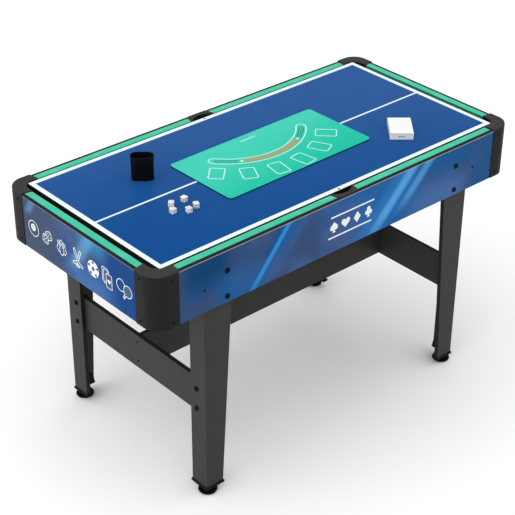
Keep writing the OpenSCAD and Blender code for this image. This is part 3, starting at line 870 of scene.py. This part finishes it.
def two_bats(art, u):
    for du, dw, angle in ((-14, 7, 0.75), (13, -1, -0.62)):
        blade = circle(0, 2, 17.5, 40, -pi / 2 + 0.2, tau - 0.4)
        handle = [(-3.4, -25), (3.4, -25)]
        art.drawing(turned(blade + handle, angle, u + du, dw), du > 0)
    art.stroke(circle(u - 2, -23, 4, 20), LINE, closed=True, layer=2)


def heart():
    """A heart outline about 2 units across."""
    points = []
    for i in range(36):
        t = tau * (i + 0.5) / 36
        height = 13 * cos(t) - 5 * cos(2 * t) - 2 * cos(3 * t) - cos(4 * t)
        points.append((sin(t) ** 3, height / 16))
    return points


def suit_marks(art, centre, size, gap):
    """The four card suits in a row, with a plain bar over and under them."""
    stem = [(-0.34, -1.0), (0.34, -1.0), (0.08, -0.2), (-0.08, -0.2)]
    for place, suit in enumerate(("spade", "heart", "diamond", "club")):
        u = centre + (place - 1.5) * gap
        if suit == "spade":
            art.fill(turned(heart(), pi, u, 0.12 * size, size * 0.9))
            art.fill(turned(stem, 0, u, 0, size), layer=1)
        elif suit == "heart":
            art.fill(turned(heart(), 0, u, 0, size))
        elif suit == "diamond":
            art.fill(turned([(0, -1.05), (0.8, 0), (0, 1.05), (-0.8, 0)], 0, u, 0, size))
        else:
            for i in range(3):
                lobe = polar((u, 0.15 * size), 0.46 * size, pi / 2 + tau * i / 3)
                art.fill(circle(*lobe, 0.43 * size, 28), layer=i)
            art.fill(turned(stem, 0, u, 0, size), layer=3)
    reach = 1.5 * gap + size
    for w in (-1.9 * size, 1.9 * size):
        slant = 0.25 * size * (1 if w > 0 else -1)
        ends = [(centre - reach + slant, w), (centre + reach + slant, w)]
        art.stroke(ends, 0.28 * size)


def smaller(place, middle, share):
    """The same place function, with everything shrunk about middle."""

    def shrunk(u, w, layer):
        return place(middle + (u - middle) * share, w * share, layer)

    return shrunk


def panel_prints():
    """The seven game symbols on both ends, and the suits on the front and back."""
    symbols = (
        (pool_ball, -185),
        (two_dice, -126.5),
        (bowling_pins, -66),
        (hockey_sticks, 0),
        (football, 63),
        (playing_cards, 117.5),
        (two_bats, 185),
    )
    for side, _, _, axis, sign in PANELS:
        if axis:
            name = "suit_marks_" + side
            art = Print(panel_place(axis, sign, APRON_HIGH.z - 71 * MM))
            suit_marks(art, 10, 15, 40)
        else:
            name = "game_symbols_" + side
            place = panel_place(axis, sign, END_HIGH.z - 74.5 * MM)
            art = Print(place)
            for symbol, middle in symbols:
                art.place = smaller(place, middle * MM, 0.9)
                symbol(art, middle)
        art.piece(name, "frame", "printed_apron", [WHITE_INK, BLUE_INK])


# ---- Frame ----


def frame_parts():
    """The frame's boards, plastics and fasteners, in their CAD shapes with eased edges."""
    boards = [("centre_stretcher", 1, 0.6), ("cross_beams", 0, 0.5)]
    boards += [("end_stretcher_" + side, 0, 0.6) for side in ("left", "right")]
    others = [
        ("bed_cleats", "bare_board", INSIDE, 0.5),
        ("pocket_cups_middle", "cup_plastic", CUP, 0.4),
        ("rail_caps", "black_edging", EDGING, 0.3),
        ("middle_castings", "casting_plastic", CASTING, 0.7),
        ("frame_bolts", "black_steel", BLACK_STEEL, 0.5),
        ("frame_washers", "black_steel", BLACK_STEEL, 0.25),
        ("frame_nuts", "zinc_steel", ZINC_STEEL, 0.4),
        ("small_screws", "black_steel", BLACK_STEEL, 0.2),
    ]
    for corner in CORNERS:
        boards += [("leg_face_" + corner, 1, 0.6), ("leg_side_" + corner, 0, 0.6)]
        others.append(("leg_shoe_" + corner, "shoe_plastic", SHOE, 0.6))
        others.append(("pocket_cup_" + corner, "cup_plastic", CUP, 0.4))
    for node, thin_axis, ease in boards:
        refined(node, "frame", "leg_board", [LEG, EDGING], flat_faces(thin_axis), ease * MM)
    for node, slot, material, ease in others:
        refined(node, "frame", slot, [material], None, ease * MM)
    refined("pool_bed", "frame", "bed_cloth", [BED_CLOTH, INSIDE], lambda normal: 0 if normal.z > 0.5 else 1)


def leveller(corner):
    """A levelling foot: a fluted disc with a hub, and a threaded stem."""
    node = "leveller_" + corner
    low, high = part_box(node)
    centre = ((low + high) / 2).xy
    disc_r = (high.x - low.x) / 2
    stem_r = 4 * MM
    rim = ((6, 0), (5, 0.2), (1.6, 2.2), (0.3, 4.4), (0, 5.6), (0.5, 7.2), (2, 8))
    hub = ((8.6, 8.8), (7.6, 9.6), (7, 11.6), (6, 12), (3.4, 12), (0, 12))
    disc = [(0, 0)] + [(disc_r - inset * MM, z * MM) for inset, z in rim]
    disc += [(radius * MM, z * MM) for radius, z in hub]

    def flutes(angle, radius, _):
        depth = 0.7 * MM if radius > disc_r - 2 * MM else 0
        return radius - depth * (0.5 - 0.5 * cos(30 * angle)) ** 2

    bm = bmesh.new()
    revolve(bm, disc, centre, 240, flutes)
    pitch = 1.25 * MM
    turns = (high.z - 11.5 * MM) / pitch
    steps = int(turns * 8)
    stem = [(0, 11.5 * MM), (stem_r - 0.5 * MM, 11.5 * MM)]
    stem += [(stem_r - 0.25 * MM, 11.5 * MM + (i + 0.5) * pitch / 8) for i in range(steps)]
    stem += [(stem_r - 0.6 * MM, high.z), (0, high.z)]

    def thread(angle, radius, height):
        if not stem_r - 0.3 * MM < radius < stem_r:
            return radius
        return radius + 0.24 * MM * sin(tau * height / pitch - angle)

    revolve(bm, stem, centre, 32, thread)
    ease_edges(stand_for(node, bm, node, "foot_plastic", [FOOT]), 0.15 * MM, 1, 60)


# ---- Tennis board ----


def tennis_board():
    node = "tennis_board"
    refined(node, node, "tennis_print", [TENNIS, EDGING, INSIDE], out_and_in(2, 1), 0.35 * MM)
    refined("board_rim", node, "black_edging", [EDGING])


# ---- Card mat ----


def card_mat():
    """The cloth mat on its black rubber, with a softly rounded top edge. The rubber runs up nearly the whole
    side, partly a painted shadow along the edge.
    """
    low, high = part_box("game_mat")
    centre = ((low + high) / 2).xy
    rings = []
    for inset, z in ((0.4, 0.0), (0.0, 0.3), (0.0, 1.3), (0.0, 1.7), (0.0, 2.3), (0.3, 2.8), (0.9, 3.0)):
        inset *= MM
        outline = rounded_box(MAT_L - 2 * inset, MAT_W - 2 * inset, 11 * MM - inset, 10)
        rings.append([(x, y, low.z + z * MM) for x, y in turned(outline, MAT_TURN, *centre)])
    bm = bmesh.new()
    loft(bm, rings)
    for face in bm.faces:
        # Partly painted shadow: all but the top 0.4 mm of the side is black rubber, so the edge reads as
        # rubber in shade.
        face.material_index = 1 if face.calc_center_median().z < low.z + 2.6 * MM else 0
    piece = stand_for("game_mat", bm, "game_mat", "mat_cloth", [MAT, RUBBER_AND_SHADE])
    ease_edges(piece, 0.1 * MM, 1, 60)
    return piece


def mat_prints():
    """The print of a generic card game: six boxes on an arc, a curved band and a small mark."""
    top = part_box("game_mat")[1].z

    def place(u, w, layer):
        return Vector((u, w, top + (0.06 + 0.05 * layer) * MM))

    art = Print(place)
    down = -pi / 2
    arc, reach, skew = (8.7, 166.8), 257, radians(-2.2)
    for side in (-1, 1):
        for turn in (9.1, 27.4, 45.5):
            angle = radians(side * turn)
            at = polar(arc, reach, down + angle + skew)
            outline = turned(rounded_box(38.5, 56, 5), angle, *at)
            art.stroke(outline, 2.8, closed=True)

    arc, inner, outer = (7.7, 175.6), 184, 210.5
    middle, sweep = (inner + outer) / 2, radians(50.5)
    outline = []
    for radius, start, along, turn in ((outer, -sweep, sweep, 0), (inner, sweep, -sweep, pi)):
        outline += circle(*arc, radius, 60, down + start, 2 * along)
        end = polar(arc, middle, down + along)
        outline += circle(*end, (outer - inner) / 2, 12, down + along + turn, pi)[1:-1]
    art.stroke(outline, 3, closed=True, layer=1)
    tan_sweep = radians(27.5)
    tan = circle(*arc, middle, 50, down - tan_sweep, 2 * tan_sweep)
    art.stroke(tan, outer - inner - 6, finish=1)
    for side in (-1, 1):
        start = down + side * radians(32)
        for row in (-1, 0, 1):
            for i in range(12):
                angle = start + side * radians(0.75 + 1.5 * i)
                at = polar(arc, middle + row * 6, angle)
                mark = [(-2.1, -1.6), (2.1, -1.6), (1.2, 1.8), (-1.2, 1.8)]
                art.fill(turned(mark, angle + pi / 2 + row + i % 2, *at), finish=2)
        dot = polar(arc, middle, down + side * radians(29.4))
        art.fill(circle(*dot, 4, 20), layer=1)
    art.stroke([(-21, 87.2), (30, 88)], 3)
    for i in range(6):
        mark = turned([(0, -2.2), (1.8, 0), (0, 2.2), (-1.8, 0)], 0, 7 * i - 26, 100)
        art.fill(mark, finish=2)
    art.piece("mat_print", "game_mat", "mat_cloth", [MAT_WHITE, TAN_INK, DARK_INK])


# ---- Dice cup ----


def oval(width, depth, steps=16):
    """Points round two half circles joined by straight sides, about the origin."""
    radius = depth / 2
    reach = width / 2 - radius
    right = circle(reach, 0, radius, steps, -pi / 2, pi)
    left = circle(-reach, 0, radius, steps, pi / 2, pi)
    top = [(reach * (1 - 2 * i / 8), radius) for i in range(1, 8)]
    bottom = [(-reach * (1 - 2 * i / 8), -radius) for i in range(1, 8)]
    return right + top + left + bottom


def dice_cup():
    """An oval leather cup with a rolled rim, a foot seam and stitches."""
    low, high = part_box("dice_cup")
    centre = ((low + high) / 2).xy
    turn = radians(-40)
    width, depth, height = 60 * MM, 35 * MM, high.z - low.z
    wall = 1.8 * MM

    def ring(inset, z):
        taper = 1 - z / height
        outline = oval(width - 2 * inset - 2.5 * MM * taper, depth - 2 * inset - 6.5 * MM * taper)
        return [Vector((x, y, low.z + z)) for x, y in turned(outline, turn, *centre)]

    foot = ((1.2, 0), (0.3, 0.3), (0.1, 1.2), (0.1, 2.6), (0.6, 3.2), (0.35, 4))
    rings = [ring(inset * MM, z * MM) for inset, z in foot]
    for i in range(1, 12):
        t = i / 12
        rings.append(ring(0.35 * MM + 0.25 * MM * sin(pi * t), 4 * MM + t * (height - 12 * MM)))
    collar = ((0.35, 7.6), (0.7, 7), (0.05, 6.2), (0, 3))
    rings += [ring(inset * MM, height - drop * MM) for inset, drop in collar]
    for i in range(1, 6):
        angle = pi * i / 5
        inset = wall / 2 * (1 - cos(angle))
        rings.append(ring(inset, height - wall / 2 + wall / 2 * sin(angle)))
    rings += [ring(wall, height - 6 * MM), ring(wall - 0.1 * MM, 8 * MM), ring(wall + 0.6 * MM, 3 * MM)]
    bm = bmesh.new()
    loft(bm, rings)
    stand_for("dice_cup", bm, "dice_cup", "cup_leather", [LEATHER])

    bm = bmesh.new()
    outline = turned(oval(width, depth - 0.3 * MM, 24), turn, *centre)
    loop = [Vector((x, y)) for x, y in outline]
    lengths = [(loop[(i + 1) % len(loop)] - loop[i]).length for i in range(len(loop))]
    spacing, walked, index = 3.4 * MM, 0.0, 0
    for stitch in range(int(sum(lengths) / spacing)):
        target = stitch * spacing
        while walked + lengths[index] < target:
            walked += lengths[index]
            index += 1
        start, end = loop[index], loop[(index + 1) % len(loop)]
        along = (end - start).normalized()
        at = start + along * (target - walked)
        add_stitch(bm, Vector((*at, low.z + height - 5 * MM)), Vector((*along, 0)))
    add_piece("cup_stitches", to_mesh("cup_stitches", bm), "dice_cup", "cup_leather", [THREAD])


def add_stitch(bm, centre, along, length=2.2 * MM, radius=0.22 * MM):
    """A short thread with tapered ends."""
    up = Vector((0, 0, 1))
    side = along.cross(up)
    rings = []
    for t, share in ((-0.5, 0.3), (-0.38, 0.8), (0, 1), (0.38, 0.8), (0.5, 0.3)):
        ring = []
        for i in range(6):
            angle = tau * i / 6
            offset = side * cos(angle) + up * sin(angle)
            ring.append(centre + along * length * t + offset * radius * share)
        rings.append(ring)
    loft(bm, rings)


# ---- Dice ----

PIPS = {
    1: ((0, 0),),
    2: ((-1, -1), (1, 1)),
    3: ((-1, -1), (0, 0), (1, 1)),
    4: ((-1, -1), (-1, 1), (1, -1), (1, 1)),
    5: ((-1, -1), (-1, 1), (0, 0), (1, -1), (1, 1)),
    6: ((-1, -1), (-1, 0), (-1, 1), (1, -1), (1, 0), (1, 1)),
}


def die(number, turn, top, front, red=()):
    """A die with dished pips. top and front are the values on those faces."""
    node = f"die_{number}"
    low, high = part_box(node)
    centre = (low + high) / 2
    size = high.z - low.z
    spin = Matrix.Translation(centre) @ Matrix.Rotation(turn, 4, "Z")
    bm = bmesh.new()
    bmesh.ops.create_cube(bm, size=size)
    edges = list(bm.edges)
    bmesh.ops.bevel(
        bm, geom=edges, offset=1.7 * MM, segments=4, profile=0.6, affect="EDGES", clamp_overlap=True
    )
    values = dict(zip("ZYX", (top, front, 0)))
    used = {top, 7 - top, front, 7 - front}
    values["X"] = min({1, 2, 3, 4, 5, 6} - used)
    spread = size * 0.25
    radius = size * 0.125
    for axis, value in values.items():
        for side, count in ((1, value), (-1, 7 - value)):
            for a, b in PIPS[count]:
                add_pip(bm, axis, side, a * spread, b * spread, size / 2, radius, 2 if count in red else 1)
    bm.transform(spin)
    stand_for(node, bm, node, "dice_plastic", [DICE, BLACK_PIP, RED_PIP], False)


def add_pip(bm, axis, side, a, b, reach, radius, finish):
    """A painted pip: a shallow dome seated in a face of a die that stands round the origin."""
    steps, rings = 16, 3

    def vert(ring, step):
        out = side * (reach + (0.09 * (1 - (ring / rings) ** 2) - 0.04) * MM)
        u, v = polar((a, b), radius * ring / rings, tau * step / steps)
        return bm.verts.new({"Z": (u, v, out), "Y": (u, -out, v), "X": (out, u, v)}[axis])

    tip = vert(0, 0)
    rows = [[vert(ring, step) for step in range(steps)] for ring in range(1, rings + 1)]
    faces = []
    for step in range(steps):
        after = (step + 1) % steps
        faces.append(bm.faces.new((tip, rows[0][step], rows[0][after])))
        for low, high in zip(rows, rows[1:]):
            faces.append(bm.faces.new((low[step], high[step], high[after], low[after])))
    for face in faces:
        face.material_index = finish
        face.normal_update()
        if face.normal.dot(face.calc_center_median()) < 0:
            face.normal_flip()


def dice():
    die(1, radians(-45), 5, 4, red=(1, 4))
    die(2, radians(4), 5, 3)
    die(3, radians(8), 2, 4)
    die(4, radians(-6), 6, 2)
    die(5, radians(-22), 3, 5)


# ---- Card box ----


def card_box():
    refined("card_box", "card_box", "card_stock", [CARD], None, 0.3 * MM)
    refined("card_flap", "card_flap", "card_stock", [CARD], None, 0.25 * MM)

    refined("card_deck", "card_box", "playing_cards", [CARD, CARD_EDGES], flat_faces(2), 0.3 * MM)
    hinge = next(j for j in frame["joints"] if j["child"] == "card_flap")
    pivot = Vector(hinge["pos_m"])
    across = -Vector(hinge["axis"])
    out = Vector((across.y, -across.x, 0))
    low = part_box("card_flap")[0].z

    def place(u, w, _):
        return Vector((*pivot.xy, low + w)) + across * u + out * (0.06 * MM)

    art = Print(place)
    for u in (-6, 0, 6):
        art.fill(circle(u, 8.5, 2, 16))
    art.stroke([(-28, 15.2), (28, 15.2)], 0.4)
    art.piece("flap_print", "card_flap", "card_stock", [GREY_INK])


# ---- Stage, lights and camera ----


def stage():
    bm = bmesh.new()
    bmesh.ops.create_grid(bm, x_segments=8, y_segments=8, size=14)
    mesh = to_mesh("floor", bm, False, False)
    mesh.materials.append(pale_floor())
    floor = put_in_scene("floor", mesh)
    floor.location.z = -0.5 * MM


def area_light(name, place, target, size, power):
    data = bpy.data.lights.new(name, "AREA")
    data.shape = "RECTANGLE"
    data.size, data.size_y = size
    data.energy = power
    light = put_in_scene(name, data)
    light.location = place
    direction = Vector(target) - Vector(place)
    light.rotation_euler = direction.to_track_quat("-Z", "Y").to_euler()


def soft_sun(name, azimuth, height, spread, power):
    """A very wide, soft light from far away. Angles are in degrees."""
    data = bpy.data.lights.new(name, "SUN")
    data.energy = power
    data.angle = radians(spread)
    azimuth, height = radians(azimuth), radians(height)
    level = cos(height)
    source = Vector((sin(azimuth) * level, cos(azimuth) * level, sin(height)))
    put_in_scene(name, data).rotation_euler = source.to_track_quat("Z", "Y").to_euler()


def lights():
    soft_sun("softbox_above", 235, 72, 110, 2.2)
    area_light("softbox_left", (-3.2, 0.4, 1.3), (0, 0, 0.4), (2.4, 1.6), 22)
    world = bpy.data.worlds.new("studio")
    world.use_nodes = True
    background = world.node_tree.nodes["Background"]
    background.inputs["Color"].default_value = (1, 1, 1, 1)
    background.inputs["Strength"].default_value = 0.55
    bpy.context.scene.world = world
    bpy.context.scene.view_settings.view_transform = "Standard"


def camera():
    """The photographer's place: in front of the table's left end, looking down on it."""
    azimuth, elevation, roll = radians(41.648), radians(31.628), radians(0.408)
    ahead = cos(elevation)
    forward = Vector((sin(azimuth) * ahead, cos(azimuth) * ahead, -sin(elevation)))
    level = forward.cross(Vector((0, 0, 1))).normalized()
    up = level.cross(forward)
    right = level * cos(roll) + up * sin(roll)
    up = up * cos(roll) - level * sin(roll)
    data = bpy.data.cameras.new("camera")
    data.lens = 100.01
    data.sensor_width = 36
    shot = put_in_scene("camera", data)
    turn = Matrix((right, up, -forward)).transposed().to_4x4()
    shot.matrix_world = Matrix.Translation((-2.2087, -2.4425, 2.4224)) @ turn
    bpy.context.scene.camera = shot


for each_corner in CORNERS:
    corner_casting(each_corner)
    leveller(each_corner)
cushions()
aprons()
panel_prints()
frame_parts()
tennis_board()
mat = card_mat()
mat_prints()
dice_cup()
dice()
card_box()
stage()
lights()
camera()
